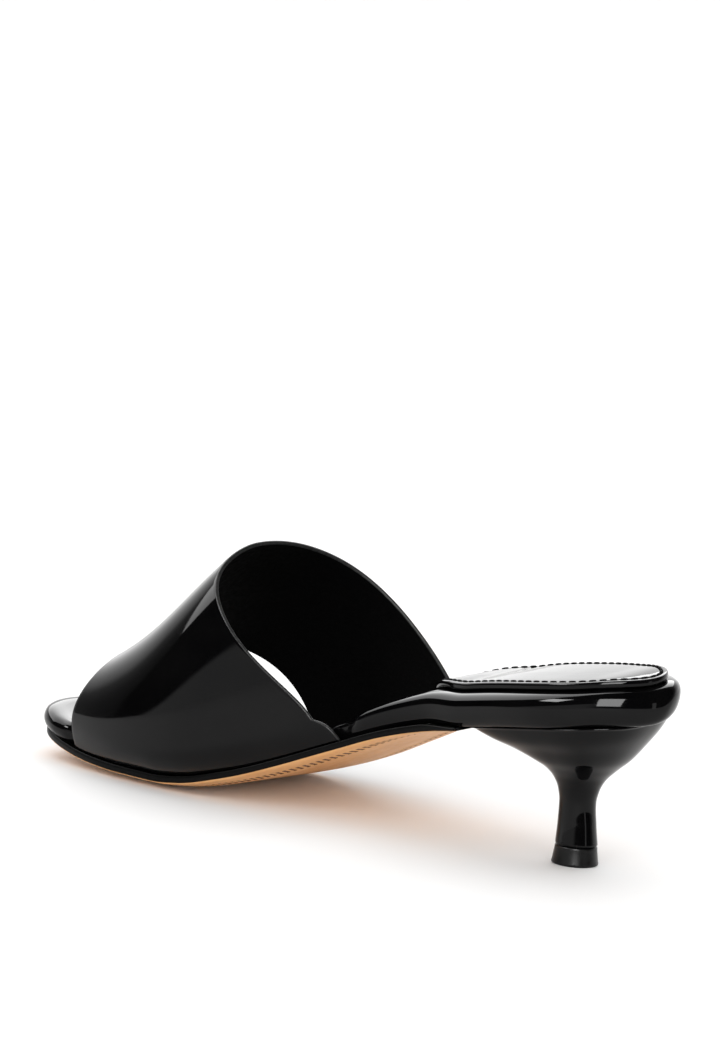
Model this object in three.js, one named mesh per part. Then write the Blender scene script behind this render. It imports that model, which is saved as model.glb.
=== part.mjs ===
// Kitten heel sandal: a heeled slip-on with one wide vamp band, right shoe.
// Millimetres, +Z up, toe towards -Y, heel towards +Y, inner side of the foot towards +X.
// Shapes are worked out from the heel end forwards: "along" is a share of the sole's length.
import * as THREE from 'three';
import { mergeVertices } from 'three/addons/utils/BufferGeometryUtils.js';

// Driving sizes
const SOLE_LENGTH = 228;
const BALL_WIDTH = 68;
const HEEL_HEIGHT = 46.7;
const TOE_SPRING = 8.2;
const INSTEP_HEIGHT = 77;
const SOLE_THICKNESS = 2.4;
const SKIVED_THICKNESS = 0.9;
const FOOTBED_THICKNESS = 10.4;
const UPPER_WALL = 1.4;
const PAD_THICKNESS = 2.2;
const TIP_HEIGHT = 5.6;
const TIP_RADIUS = 7;
const TIP_CHAMFER = 0.4;
const STEM_RADIUS = 5.6;
const CLEARANCE = 0.3;

// Places along and across
const HEEL_AXIS = 29.9;
const BREAST_ALONG = 0.274;
const SKIVE_LENGTH = 16;
const PAD_INSET = 4.2;
const PAD_NOSE_LENGTH = 26;
const PAD_LENGTH = 87;
const UPPER_INSET = 0.6;
const UPPER_WIDEST = 8.6;
const TUCK_DEPTH = 1.9;
const TUCK_RUN = 6;
const FOOTBED_INSET = 0.8;
const TOE_OVERHANG = 1.3;
const TOE_RUN = 12;
const TOE_BELLY = 1.6;
const SEAT_INSET = 2.4;
const SEAT_BANK = 2;
const SOLE_CROWN = { inner: 2.0, outer: 0.8 };
const TREAD_FLAT_SHARE = 0.5;

// Share of the way round within which the vamp's wall turns level, to stand on the sole
const WALL_FOOT = 0.12;

// Sole outline: half widths as shares of the ball width, to the inner and the outer side
const OUTLINE = [
  { along: 0, inner: 0, outer: 0 },
  { along: 0.02, inner: 0.158, outer: 0.152 },
  { along: 0.06, inner: 0.273, outer: 0.261 },
  { along: 0.13, inner: 0.353, outer: 0.348 },
  { along: 0.22, inner: 0.335, outer: 0.387 },
  { along: 0.35, inner: 0.283, outer: 0.403 },
  { along: 0.47, inner: 0.312, outer: 0.438 },
  { along: 0.59, inner: 0.407, outer: 0.499 },
  { along: 0.68, inner: 0.468, outer: 0.526 },
  { along: 0.77, inner: 0.483, outer: 0.491 },
  { along: 0.86, inner: 0.466, outer: 0.388 },
  { along: 0.94, inner: 0.407, outer: 0.244 },
  { along: 0.985, inner: 0.313, outer: 0.086 },
  { along: 1, inner: 0.118, outer: -0.118 },
];

// Underside: rise from the floor as a share of the heel height, toe spring as a share of its size,
// thickness of the footbed as a share of its size at the heel, and how much the edges curl up
const PROFILE = [
  { along: 0, rise: 1, spring: 0, footbed: 1, crown: 0 },
  { along: 0.05, rise: 0.985, spring: 0, footbed: 1, crown: 0 },
  { along: 0.1, rise: 0.946, spring: 0, footbed: 1, crown: 0 },
  { along: 0.16, rise: 0.9, spring: 0, footbed: 1, crown: 0 },
  { along: 0.24, rise: 0.83, spring: 0, footbed: 1, crown: 0 },
  { along: 0.32, rise: 0.735, spring: 0, footbed: 0.97, crown: 0.2 },
  { along: 0.4, rise: 0.6, spring: 0, footbed: 0.88, crown: 0.5 },
  { along: 0.48, rise: 0.42, spring: 0, footbed: 0.72, crown: 0.8 },
  { along: 0.56, rise: 0.24, spring: 0, footbed: 0.56, crown: 1 },
  { along: 0.63, rise: 0.112, spring: 0, footbed: 0.48, crown: 1 },
  { along: 0.7, rise: 0.022, spring: 0, footbed: 0.45, crown: 1 },
  { along: 0.745, rise: 0, spring: 0, footbed: 0.45, crown: 1 },
  { along: 0.8, rise: 0, spring: 0, footbed: 0.47, crown: 1 },
  { along: 0.86, rise: 0, spring: 0.14, footbed: 0.52, crown: 0.7 },
  { along: 0.93, rise: 0, spring: 0.48, footbed: 0.6, crown: 0.3 },
  { along: 1, rise: 0, spring: 1, footbed: 0.62, crown: 0 },
];

// Last sections under the vamp: height of the ridge as a share of the instep height, bulge past the
// sole's edge to each side and place of the ridge towards the inner side as shares of the ball width
const LAST = [
  { along: 0.35, ridge: 1.33, inner: 0.01, outer: 0.09, middle: 0.045 },
  { along: 0.427, ridge: 1.272, inner: 0.015, outer: 0.104, middle: 0.049 },
  { along: 0.559, ridge: 1.189, inner: 0.049, outer: 0.132, middle: 0.058 },
  { along: 0.692, ridge: 1.008, inner: 0.088, outer: 0.118, middle: 0.062 },
  { along: 0.802, ridge: 0.682, inner: 0.07, outer: 0.09, middle: 0.048 },
  { along: 0.912, ridge: 0.437, inner: 0.027, outer: 0.045, middle: 0.044 },
  { along: 1, ridge: 0.32, inner: 0.019, outer: 0.029, middle: 0.041 },
];

// Edges of the vamp band: around runs from the inner sole edge over the ridge to the outer sole edge
const BAND = [
  { around: 0, back: 0.466, front: 0.898 },
  { around: 0.125, back: 0.51, front: 0.902 },
  { around: 0.25, back: 0.622, front: 0.895 },
  { around: 0.375, back: 0.695, front: 0.887 },
  { around: 0.5, back: 0.698, front: 0.875 },
  { around: 0.625, back: 0.658, front: 0.845 },
  { around: 0.75, back: 0.559, front: 0.793 },
  { around: 0.875, back: 0.455, front: 0.73 },
  { around: 1, back: 0.403, front: 0.686 },
];

// Heel sections: level as a share of the seat's height over the stem, reach to the front, back and
// side as shares of the stem's radius, squareness of the front, and how far it follows the seat
const HEEL = [
  { level: 0.138, front: 1.13, back: 1.13, side: 1.13, square: 2, seat: 0 },
  { level: 0.28, front: 1.14, back: 0.95, side: 1, square: 2, seat: 0 },
  { level: 0.42, front: 1.18, back: 0.81, side: 0.95, square: 2, seat: 0 },
  { level: 0.51, front: 1.34, back: 0.96, side: 1.04, square: 2, seat: 0.05 },
  { level: 0.58, front: 1.6, back: 1.26, side: 1.26, square: 2.1, seat: 0.15 },
  { level: 0.65, front: 1.98, back: 1.86, side: 1.7, square: 2.3, seat: 0.3 },
  { level: 0.72, front: 2.68, back: 2.62, side: 2.28, square: 2.6, seat: 0.5 },
  { level: 0.8, front: 3.72, back: 3.26, side: 2.8, square: 3, seat: 0.7 },
  { level: 0.9, front: 4.9, back: 3.94, side: 3.5, square: 4, seat: 0.9 },
  { level: 1, front: 5.72, back: 4.42, side: 3.85, square: 7, seat: 1 },
];

// Squareness of the heel's back where it meets the seat
const SEAT_BACK_SQUARE = 2.3;

// How far the tip still flares halfway up, between its joint and its foot
const TIP_WAIST = 0.4;

// Rounded edges: inset from the outline in millimetres and height as a share of the thickness
const FOOTBED_EDGE = [
  { inset: 1.9, height: 0 },
  { inset: 0.95, height: 0.12 },
  { inset: 0.35, height: 0.3 },
  { inset: 0.1, height: 0.5 },
  { inset: 0.35, height: 0.7 },
  { inset: 1.3, height: 0.87 },
  { inset: 3.3, height: 0.97 },
  { inset: 6.2, height: 1 },
];
const PAD_EDGE = [
  { inset: 0.5, height: 0 },
  { inset: 0, height: 0.4 },
  { inset: 0.3, height: 0.8 },
  { inset: 1.3, height: 1 },
];
const SOLE_EDGE = [
  { inset: 0.3, height: 0 },
  { inset: 0, height: 0.2 },
  { inset: 0, height: 1 },
];

// Mesh density
const SOLE_STATIONS = 44;
const BED_STATIONS = 52;
const PAD_STATIONS = 26;
const ACROSS = 8;
const UPPER_AROUND = 48;
const UPPER_ALONG = 15;
const HEEL_SIDES = 40;
const HEEL_TOP_RINGS = [0.7, 0.35];

// Step over which slopes are measured, as a share, and distance at which points are the same one
const SLOPE_STEP = 0.004;
const SAME_POINT = 1e-4;

// Small helpers
const mix = (a, b, share) => a + (b - a) * share;
const clamp = (value) => Math.min(1, Math.max(0, value));
const ease = (from, to, value) => {
  const share = clamp((value - from) / (to - from));
  return share * share * (3 - 2 * share);
};

// A natural cubic through the named column of a table
function smooth(rows, key, column, spread = (value) => value) {
  const xs = rows.map((row) => spread(row[key]));
  const ys = rows.map((row) => row[column]);
  const last = xs.length - 1;
  const bend = new Array(last + 1).fill(0);
  const weight = new Array(last + 1).fill(0);
  for (let i = 1; i < last; i++) {
    const before = xs[i] - xs[i - 1];
    const after = xs[i + 1] - xs[i];
    const slopeChange = (ys[i + 1] - ys[i]) / after - (ys[i] - ys[i - 1]) / before;
    const pivot = 2 * (before + after) - before * weight[i - 1];
    weight[i] = after / pivot;
    bend[i] = (6 * slopeChange - before * bend[i - 1]) / pivot;
  }
  for (let i = last - 1; i > 0; i--) bend[i] -= weight[i] * bend[i + 1];
  return (value) => {
    const x = spread(value);
    let i = xs.findIndex((next) => x < next) - 1;
    if (i < 0) i = x < xs[0] ? 0 : last - 1;
    const width = xs[i + 1] - xs[i];
    const right = (x - xs[i]) / width;
    const left = 1 - right;
    const curve = ((left ** 3 - left) * bend[i] + (right ** 3 - right) * bend[i + 1]) * width * width / 6;
    return left * ys[i] + right * ys[i + 1] + curve;
  };
}

// A curve through the named column that never overshoots its rows
function monotone(rows, key, column) {
  const xs = rows.map((row) => row[key]);
  const ys = rows.map((row) => row[column]);
  const steps = xs.slice(1).map((x, i) => (ys[i + 1] - ys[i]) / (x - xs[i]));
  const slopes = xs.map((x, i) => {
    const before = steps[i - 1] ?? steps[i];
    const after = steps[i] ?? before;
    return before * after <= 0 ? 0 : 2 * before * after / (before + after);
  });
  return (x) => {
    let i = xs.findIndex((next) => x < next) - 1;
    if (i < 0) i = x < xs[0] ? 0 : xs.length - 2;
    const width = xs[i + 1] - xs[i];
    const share = clamp((x - xs[i]) / width);
    const square = share * share;
    const cube = square * share;
    return ys[i] * (2 * cube - 3 * square + 1) + ys[i + 1] * (3 * square - 2 * cube)
      + width * (slopes[i] * (cube - 2 * square + share) + slopes[i + 1] * (cube - square));
  };
}

// Equal steps of this angle give round ends to the outline
const roundAngle = (along) => Math.acos(1 - 2 * clamp(along));
const alongAt = (share) => (1 - Math.cos(Math.PI * share)) / 2;

const innerHalf = smooth(OUTLINE, 'along', 'inner', roundAngle);
const outerHalf = smooth(OUTLINE, 'along', 'outer', roundAngle);
const rise = monotone(PROFILE, 'along', 'rise');
const spring = monotone(PROFILE, 'along', 'spring');
const footbedShare = monotone(PROFILE, 'along', 'footbed');
const crown = monotone(PROFILE, 'along', 'crown');
const ridgeShare = smooth(LAST, 'along', 'ridge');
const innerBulge = smooth(LAST, 'along', 'inner');
const outerBulge = smooth(LAST, 'along', 'outer');
const ridgeMiddle = smooth(LAST, 'along', 'middle');
const bandBack = smooth(BAND, 'around', 'back');
const bandFront = smooth(BAND, 'around', 'front');

// Side is +1 towards the inner edge and -1 towards the outer edge
const halfWidth = (along, side) => BALL_WIDTH * (side > 0 ? innerHalf(along) : outerHalf(along));
const edgePoint = (along, side) => new THREE.Vector2(side * halfWidth(along, side), along * SOLE_LENGTH);

// Point of the outline moved inwards at right angles to it
function insetPoint(share, side, inset) {
  const back = edgePoint(alongAt(Math.max(0, share - SLOPE_STEP)), side);
  const front = edgePoint(alongAt(Math.min(1, share + SLOPE_STEP)), side);
  const run = front.sub(back);
  if (share === 0) run.set(side, 0);
  if (share === 1) run.set(-side, 0);
  run.normalize();
  const inward = new THREE.Vector2(-side * run.y, side * run.x);
  return edgePoint(alongAt(share), side).addScaledVector(inward, inset);
}

// Heights over the floor; across is 0 on the middle line and 1 at either edge
function underside(x, distance) {
  const along = clamp(distance / SOLE_LENGTH);
  const side = Math.sign(x) || 1;
  const across = clamp(Math.abs(x) / Math.max(1, Math.abs(halfWidth(along, side))));
  const curl = clamp((across - TREAD_FLAT_SHARE) / (1 - TREAD_FLAT_SHARE)) ** 2;
  const lift = side > 0 ? SOLE_CROWN.inner : SOLE_CROWN.outer;
  const bank = -side * SEAT_BANK * across * (1 - crown(along));
  return (HEEL_HEIGHT + bank) * rise(along) + TOE_SPRING * spring(along) + lift * crown(along) * curl;
}
const breastDistance = BREAST_ALONG * SOLE_LENGTH;
const soleThickness = (distance) => mix(
  SKIVED_THICKNESS,
  SOLE_THICKNESS,
  ease(breastDistance, breastDistance + SKIVE_LENGTH, distance),
);
const soleTop = (x, distance) => underside(x, distance) + soleThickness(distance);
const footbedThickness = (distance) => FOOTBED_THICKNESS * footbedShare(clamp(distance / SOLE_LENGTH));
const footbedTop = (x, distance) => soleTop(x, distance) + CLEARANCE + footbedThickness(distance);

// From distance along the shoe to the model's frame
const place = (x, distance, z) => new THREE.Vector3(x, SOLE_LENGTH / 2 - distance, z);

// Closed mesh from quads and triangles of points, facing out
function solid(name, faces, look) {
  const positions = [];
  for (const face of faces) {
    for (let i = 2; i < face.length; i++) {
      for (const corner of [face[0], face[i - 1], face[i]]) positions.push(...corner.toArray());
    }
  }
  const loose = new THREE.BufferGeometry();
  loose.setAttribute('position', new THREE.Float32BufferAttribute(positions, 3));
  const merged = mergeVertices(loose, SAME_POINT);
  const index = merged.index.array;
  const kept = [];
  for (let i = 0; i < index.length; i += 3) {
    const [a, b, c] = index.slice(i, i + 3);
    if (a !== b && b !== c && c !== a) kept.push(a, b, c);
  }
  const corner = (i) => new THREE.Vector3().fromBufferAttribute(merged.attributes.position, i);
  let volume = 0;
  for (let i = 0; i < kept.length; i += 3) {
    volume += corner(kept[i]).dot(corner(kept[i + 1]).cross(corner(kept[i + 2])));
  }
  if (volume < 0) kept.reverse();
  merged.setIndex(kept);
  merged.computeVertexNormals();
  const mesh = new THREE.Mesh(merged, new THREE.MeshStandardMaterial(look));
  mesh.name = name;
  return mesh;
}

// Quads between neighbouring rows of points
function sheet(rows) {
  const faces = [];
  for (let i = 1; i < rows.length; i++) {
    for (let j = 1; j < rows[i].length; j++) {
      faces.push([rows[i - 1][j - 1], rows[i - 1][j], rows[i][j], rows[i][j - 1]]);
    }
  }
  return faces;
}
const flipped = (faces) => faces.map((face) => [...face].reverse());
const closed = (loop) => [...loop, loop[0]];

// Rim of a sheet as one loop
function rim(rows) {
  const last = rows.length - 1;
  return [
    ...rows[0],
    ...rows.slice(1, last).map((row) => row[row.length - 1]),
    ...[...rows[last]].reverse(),
    ...rows.slice(1, last).reverse().map((row) => row[0]),
  ];
}

// Body between a lower and an upper sheet, with loops of points between their rims
function slab(name, lower, upper, between, look) {
  const loops = [rim(lower), ...between.map(rim), rim(upper)];
  return solid(name, [...flipped(sheet(lower)), ...sheet(upper), ...sheet(loops.map(closed))], look);
}

// Sheet of points over the sole's outline between two stations
function plan(stations, fromShare, toShare, pointAt) {
  const rows = [];
  for (let i = 0; i <= stations; i++) {
    const share = mix(fromShare, toShare, i / stations);
    const outer = pointAt(share, -1);
    const inner = pointAt(share, 1);
    const row = [];
    for (let j = 0; j <= ACROSS; j++) row.push(outer.clone().lerp(inner, j / ACROSS));
    rows.push(row);
  }
  return rows;
}
const raise = (rows, height) => rows.map((row) => row.map((at) => place(at.x, at.y, height(at.x, at.y))));

const PATENT = { color: 0x0a0a0b, roughness: 0.12, metalness: 0 };
const LEATHER = { color: 0xc98f58, roughness: 0.55, metalness: 0 };
const RUBBER = { color: 0x17171a, roughness: 0.6, metalness: 0 };

// Share of the round angle at which the outsole starts
const breastShare = roundAngle(BREAST_ALONG) / Math.PI;

function outsole() {
  const level = ({ inset, height }) => raise(
    plan(SOLE_STATIONS, breastShare, 1, (share, side) => insetPoint(share, side, inset)),
    (x, distance) => underside(x, distance) + height * soleThickness(distance),
  );
  const [lower, ...rest] = SOLE_EDGE.map(level);
  return slab('outsole', lower, rest.pop(), rest, LEATHER);
}

// The footbed draws in where the vamp's wall comes down beside it
function tuck(share, side) {
  const distance = alongAt(share) * SOLE_LENGTH;
  const around = side > 0 ? 0 : 1;
  const back = bandBack(around) * SOLE_LENGTH;
  const front = bandFront(around) * SOLE_LENGTH;
  return ease(back - TUCK_RUN, back - 1, distance) * (1 - ease(front + 1, front + TUCK_RUN, distance));
}
const footbedInset = (share, side) => {
  const distance = alongAt(share) * SOLE_LENGTH;
  const front = bandFront(side > 0 ? 0 : 1) * SOLE_LENGTH;
  const drawnIn = FOOTBED_INSET * ease(breastDistance, breastDistance + SKIVE_LENGTH, distance);
  const toe = (FOOTBED_INSET + TOE_OVERHANG) * ease(front, front + TOE_RUN, distance);
  return drawnIn - toe + TUCK_DEPTH * tuck(share, side);
};

// In front of the vamp the footbed bellies out lower down
function footbedLevel(x, distance, height) {
  const front = bandFront(x > 0 ? 0 : 1) * SOLE_LENGTH;
  const share = height ** mix(1, TOE_BELLY, ease(front, SOLE_LENGTH, distance));
  return soleTop(x, distance) + CLEARANCE + share * footbedThickness(distance);
}

function footbed() {
  const level = ({ inset, height }) => raise(
    plan(BED_STATIONS, 0, 1, (share, side) => insetPoint(share, side, inset + footbedInset(share, side))),
    (x, distance) => footbedLevel(x, distance, height),
  );
  const [lower, ...rest] = FOOTBED_EDGE.map(level);
  return slab('footbed', lower, rest.pop(), rest, PATENT);
}

// Oval pad under the wearer's heel: the outline drawn in, closed by a round nose in front
function padPoint(share, side, inset) {
  const length = PAD_LENGTH - inset;
  const onOutline = roundAngle(length / SOLE_LENGTH) / Math.PI * Math.sin(Math.PI / 2 * share);
  const at = insetPoint(onOutline, side, PAD_INSET + inset);
  const opposite = insetPoint(onOutline, -side, PAD_INSET + inset);
  const nose = share === 1 ? 1 : clamp((at.y - length) / PAD_NOSE_LENGTH + 1);
  at.x = mix((at.x + opposite.x) / 2, at.x, Math.sqrt(1 - nose * nose));
  return at;
}

function sockPad() {
  const level = ({ inset, height }) => raise(
    plan(PAD_STATIONS, 0, 1, (share, side) => padPoint(share, side, inset)),
    (x, distance) => footbedTop(x, distance) + CLEARANCE + height * PAD_THICKNESS,
  );
  const [lower, ...rest] = PAD_EDGE.map(level);
  return slab('sock_pad', lower, rest.pop(), rest, PATENT);
}

// Point of the last's skin: around runs from the inner edge (0) over the ridge (0.5) to the outer (1)
function lastPoint(around, along) {
  const side = around < 0.5 ? 1 : -1;
  const turn = side > 0 ? 2 * around : 2 * (1 - around);
  const distance = along * SOLE_LENGTH;
  const middle = BALL_WIDTH * ridgeMiddle(along);
  const foot = halfWidth(along, side) - UPPER_INSET - side * middle;
  const reach = foot + BALL_WIDTH * (side > 0 ? innerBulge(along) : outerBulge(along));
  const start = Math.acos(clamp(foot / reach));
  const angle = mix(-start, Math.PI / 2, turn);
  const base = soleTop(side * halfWidth(along, side), distance) + CLEARANCE;
  const widest = base + UPPER_WIDEST;
  const height = angle < 0
    ? mix(widest, base, Math.sin(-angle) / Math.sin(start))
    : mix(widest, INSTEP_HEIGHT * ridgeShare(along), Math.sin(angle));
  return new THREE.Vector3(middle + side * reach * Math.cos(angle), distance, height);
}

// Inward direction of the skin, level at the sole so that the wall stands on it
function inward(around, along) {
  const before = Math.max(0, around - SLOPE_STEP);
  const after = Math.min(1, around + SLOPE_STEP);
  const across = lastPoint(after, along).sub(lastPoint(before, along));
  const onward = lastPoint(around, along + SLOPE_STEP).sub(lastPoint(around, along - SLOPE_STEP));
  const normal = across.cross(onward);
  normal.z *= ease(0, WALL_FOOT, Math.min(around, 1 - around));
  normal.normalize();
  const toMiddle = new THREE.Vector3(0, along * SOLE_LENGTH, 0).sub(lastPoint(around, along));
  return normal.dot(toMiddle) < 0 ? normal.negate() : normal;
}

function upper() {
  const outside = [];
  const inside = [];
  for (let i = 0; i <= UPPER_AROUND; i++) {
    const around = i / UPPER_AROUND;
    const outsideRow = [];
    const insideRow = [];
    for (let j = 0; j <= UPPER_ALONG; j++) {
      const along = mix(bandBack(around), bandFront(around), j / UPPER_ALONG);
      const skin = lastPoint(around, along);
      const lining = skin.clone().addScaledVector(inward(around, along), UPPER_WALL);
      outsideRow.push(place(skin.x, skin.y, skin.z));
      insideRow.push(place(lining.x, lining.y, lining.z));
    }
    outside.push(outsideRow);
    inside.push(insideRow);
  }
  return slab('upper', inside, outside, [], PATENT);
}

// One level of the heel; shrink pulls the loop towards the axis for the inner rings of its top face
function heelLoop(row, shrink = 1) {
  const seatLevel = soleTop(0, HEEL_AXIS);
  const loop = [];
  for (let i = 0; i < HEEL_SIDES; i++) {
    const angle = 2 * Math.PI * i / HEEL_SIDES;
    const toFront = Math.sin(angle) > 0;
    const power = 2 / (toFront ? row.square : mix(2, SEAT_BACK_SQUARE, row.seat));
    const reach = STEM_RADIUS * (toFront ? row.front : row.back) * Math.abs(Math.sin(angle)) ** power;
    const distance = HEEL_AXIS + (toFront ? reach : -reach) * shrink;
    const side = Math.sign(Math.cos(angle)) || 1;
    const width = STEM_RADIUS * row.side * Math.abs(Math.cos(angle)) ** power;
    const seatHalf = (at) => halfWidth(clamp(at / SOLE_LENGTH), side) - SEAT_INSET;
    const follow = toFront ? mix(1, seatHalf(distance) / seatHalf(HEEL_AXIS), row.seat) : 1;
    const x = side * width * follow * shrink;
    const slope = soleTop(x, distance) - seatLevel;
    loop.push(place(x, distance, row.level * seatLevel + slope * row.seat));
  }
  return loop;
}

// Body through a stack of loops, closed at both ends by fans round their middles
function stack(name, loops, look) {
  const cap = (loop) => {
    const centre = new THREE.Vector3();
    for (const at of loop) centre.addScaledVector(at, 1 / loop.length);
    return closed(loop).slice(1).map((at, i) => [loop[i], at, centre]);
  };
  const first = loops[0];
  const last = loops[loops.length - 1];
  return solid(name, [...flipped(cap(first)), ...sheet(loops.map(closed)), ...cap(last)], look);
}

function heel() {
  const top = HEEL[HEEL.length - 1];
  const loops = HEEL.map((row) => heelLoop(row));
  for (const shrink of HEEL_TOP_RINGS) loops.push(heelLoop(top, shrink));
  const floor = TIP_HEIGHT + CLEARANCE;
  for (const at of loops[0]) at.z = floor;
  return stack('heel', loops, PATENT);
}

function heelTip() {
  const ring = (radius, height) => {
    const loop = [];
    for (let i = 0; i < HEEL_SIDES; i++) {
      const angle = 2 * Math.PI * i / HEEL_SIDES;
      loop.push(place(radius * Math.cos(angle), HEEL_AXIS + radius * Math.sin(angle), height));
    }
    return loop;
  };
  const joint = STEM_RADIUS * HEEL[0].side;
  const loops = [
    ring(TIP_RADIUS - TIP_CHAMFER, 0),
    ring(TIP_RADIUS, TIP_CHAMFER),
    ring(mix(joint, TIP_RADIUS, TIP_WAIST), TIP_HEIGHT / 2),
    ring(joint, TIP_HEIGHT),
  ];
  return stack('heel_tip', loops, RUBBER);
}

const shoe = new THREE.Group();
shoe.name = 'kitten_heel_sandal';
shoe.add(outsole(), footbed(), upper(), sockPad(), heel(), heelTip());

// The origin is under the middle of the whole shoe, on the floor
const box = new THREE.Box3().setFromObject(shoe);
const centre = box.getCenter(new THREE.Vector3());
shoe.position.set(-centre.x, -centre.y, 0);
shoe.updateMatrixWorld(true);

export default shoe;
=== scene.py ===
# Kitten heel sandal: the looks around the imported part. Toe towards -Y, inner side of the foot towards +X.
# Shapes are worked out in the part's own millimetres, from the heel end forwards, and placed in metres.
import math

import bmesh
import bpy
import numpy as np
from mathutils import Matrix, Vector


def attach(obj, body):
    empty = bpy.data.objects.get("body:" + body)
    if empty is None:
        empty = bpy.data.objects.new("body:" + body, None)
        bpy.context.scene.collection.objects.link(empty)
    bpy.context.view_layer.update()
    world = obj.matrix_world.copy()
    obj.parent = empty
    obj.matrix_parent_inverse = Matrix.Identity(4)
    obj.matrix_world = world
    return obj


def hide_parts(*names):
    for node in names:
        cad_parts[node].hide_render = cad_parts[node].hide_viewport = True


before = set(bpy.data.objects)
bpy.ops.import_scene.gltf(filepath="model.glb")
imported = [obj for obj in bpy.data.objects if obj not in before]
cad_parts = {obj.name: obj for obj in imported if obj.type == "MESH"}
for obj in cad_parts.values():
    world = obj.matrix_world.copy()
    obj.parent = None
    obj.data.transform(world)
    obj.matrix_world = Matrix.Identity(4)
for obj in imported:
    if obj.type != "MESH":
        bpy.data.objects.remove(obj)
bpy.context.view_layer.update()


# The part's driving sizes
SOLE_LENGTH = 228
BALL_WIDTH = 68
HEEL_HEIGHT = 46.7
TOE_SPRING = 8.2
INSTEP_HEIGHT = 77
SOLE_THICKNESS = 2.4
SKIVED_THICKNESS = 0.9
FOOTBED_THICKNESS = 10.4
UPPER_WALL = 1.4
PAD_THICKNESS = 2.2
TIP_HEIGHT = 5.6
TIP_RADIUS = 7
STEM_RADIUS = 5.6
CLEARANCE = 0.3
HEEL_AXIS = 29.9
BREAST_ALONG = 0.274
SKIVE_LENGTH = 16
PAD_INSET = 4.2
PAD_NOSE_LENGTH = 26
PAD_LENGTH = 87
UPPER_INSET = 0.6
UPPER_WIDEST = 8.6
TUCK_DEPTH = 1.9
TUCK_RUN = 6
FOOTBED_INSET = 0.8
TOE_OVERHANG = 1.3
TOE_RUN = 12
TOE_BELLY = 1.6
SEAT_INSET = 2.4
SEAT_BANK = 2
SOLE_CROWN = {1: 2.0, -1: 0.8}
TREAD_FLAT_SHARE = 0.5

# Shift from the shoe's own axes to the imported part's, across and along, in millimetres
ORIGIN = (2.6815, 0.65)


def columns(names, rows):
    """A table as one array for each named column."""
    return dict(zip(names, np.array(rows, float).T))


OUTLINE = columns(("along", "inner", "outer"), [
    (0, 0, 0), (0.02, 0.158, 0.152), (0.06, 0.273, 0.261), (0.13, 0.353, 0.348), (0.22, 0.335, 0.387),
    (0.35, 0.283, 0.403), (0.47, 0.312, 0.438), (0.59, 0.407, 0.499), (0.68, 0.468, 0.526),
    (0.77, 0.483, 0.491), (0.86, 0.466, 0.388), (0.94, 0.407, 0.244), (0.985, 0.313, 0.086),
    (1, 0.118, -0.118),
])
PROFILE = columns(("along", "rise", "spring", "footbed", "crown"), [
    (0, 1, 0, 1, 0), (0.05, 0.985, 0, 1, 0), (0.1, 0.946, 0, 1, 0), (0.16, 0.9, 0, 1, 0),
    (0.24, 0.83, 0, 1, 0), (0.32, 0.735, 0, 0.97, 0.2), (0.4, 0.6, 0, 0.88, 0.5),
    (0.48, 0.42, 0, 0.72, 0.8), (0.56, 0.24, 0, 0.56, 1), (0.63, 0.112, 0, 0.48, 1),
    (0.7, 0.022, 0, 0.45, 1), (0.745, 0, 0, 0.45, 1), (0.8, 0, 0, 0.47, 1), (0.86, 0, 0.14, 0.52, 0.7),
    (0.93, 0, 0.48, 0.6, 0.3), (1, 0, 1, 0.62, 0),
])
LAST = columns(("along", "ridge", "inner", "outer", "middle"), [
    (0.35, 1.33, 0.01, 0.09, 0.045), (0.427, 1.272, 0.015, 0.104, 0.049),
    (0.559, 1.189, 0.049, 0.132, 0.058), (0.692, 1.008, 0.088, 0.118, 0.062),
    (0.802, 0.682, 0.07, 0.09, 0.048), (0.912, 0.437, 0.027, 0.045, 0.044), (1, 0.32, 0.019, 0.029, 0.041),
])
BAND = columns(("around", "back", "front"), [
    (0, 0.466, 0.898), (0.125, 0.51, 0.902), (0.25, 0.622, 0.895), (0.375, 0.695, 0.887),
    (0.5, 0.698, 0.875), (0.625, 0.658, 0.845), (0.75, 0.559, 0.793), (0.875, 0.455, 0.73),
    (1, 0.403, 0.686),
])
HEEL = columns(("level", "front", "back", "side", "square", "seat"), [
    (0.138, 1.13, 1.13, 1.13, 2, 0), (0.28, 1.14, 0.95, 1, 2, 0), (0.42, 1.18, 0.81, 0.95, 2, 0),
    (0.51, 1.34, 0.96, 1.04, 2, 0.05), (0.58, 1.6, 1.26, 1.26, 2.1, 0.15),
    (0.65, 1.98, 1.86, 1.7, 2.3, 0.3), (0.72, 2.68, 2.62, 2.28, 2.6, 0.5), (0.8, 3.72, 3.26, 2.8, 3, 0.7),
    (0.9, 4.9, 3.94, 3.5, 4, 0.9), (1, 5.72, 4.42, 3.85, 7, 1),
])
FOOTBED_EDGE = columns(("inset", "height"), [
    (1.9, 0), (0.95, 0.12), (0.35, 0.3), (0.1, 0.5), (0.35, 0.7), (1.3, 0.87), (3.3, 0.97), (6.2, 1),
])


# Small helpers, the same as in the part's source
def mix(a, b, share):
    return a + (b - a) * share


def clamp(value):
    return np.clip(value, 0, 1)


def ease(start, end, value):
    share = clamp((value - start) / (end - start))
    return share * share * (3 - 2 * share)


def bends(xs, ys):
    """Second slopes of a natural cubic."""
    bend = np.zeros(len(xs))
    weight = np.zeros(len(xs))
    for i in range(1, len(xs) - 1):
        before = xs[i] - xs[i - 1]
        after = xs[i + 1] - xs[i]
        change = (ys[i + 1] - ys[i]) / after - (ys[i] - ys[i - 1]) / before
        pivot = 2 * (before + after) - before * weight[i - 1]
        weight[i] = after / pivot
        bend[i] = (6 * change - before * bend[i - 1]) / pivot
    for i in range(len(xs) - 2, 0, -1):
        bend[i] -= weight[i] * bend[i + 1]
    return bend


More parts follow.
